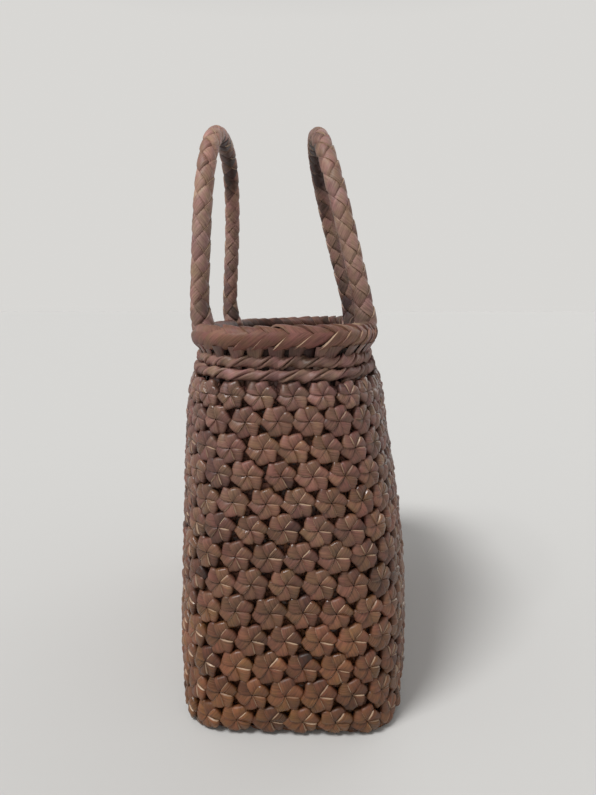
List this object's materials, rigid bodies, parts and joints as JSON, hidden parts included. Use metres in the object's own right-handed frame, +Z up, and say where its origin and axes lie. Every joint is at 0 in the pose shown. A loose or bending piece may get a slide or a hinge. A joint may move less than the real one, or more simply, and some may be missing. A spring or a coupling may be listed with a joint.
{
  "type": "vine basket bag",
  "caption": "Open-topped handbag of woven vine bark: flower-weave tub, twined neck rows, plaited rim and two arched plaited handles.",
  "frame": {"origin": "on the table under the middle of the bag, at the centre of the flat base", "axes": "+Z up, +X along the bag's length, +Y across its depth from the front handle to the back handle"},
  "size_m": [0.281, 0.14, 0.3504],
  "materials": {
    "weave_bark": "smooth vine bark strip, slight sheen",
    "twined_bark": "narrow vine bark strip, slight sheen",
    "rim_bark": "polished vine bark strip",
    "handle_bark": "polished vine bark strip"
  },
  "bodies": {
    "root": {"flower_weave": "weave_bark", "twined_row_lower": "twined_bark", "twined_row_upper": "twined_bark", "plaited_rim": "rim_bark", "handle_front": "handle_bark", "handle_back": "handle_bark"}
  },
  "joints": []
}
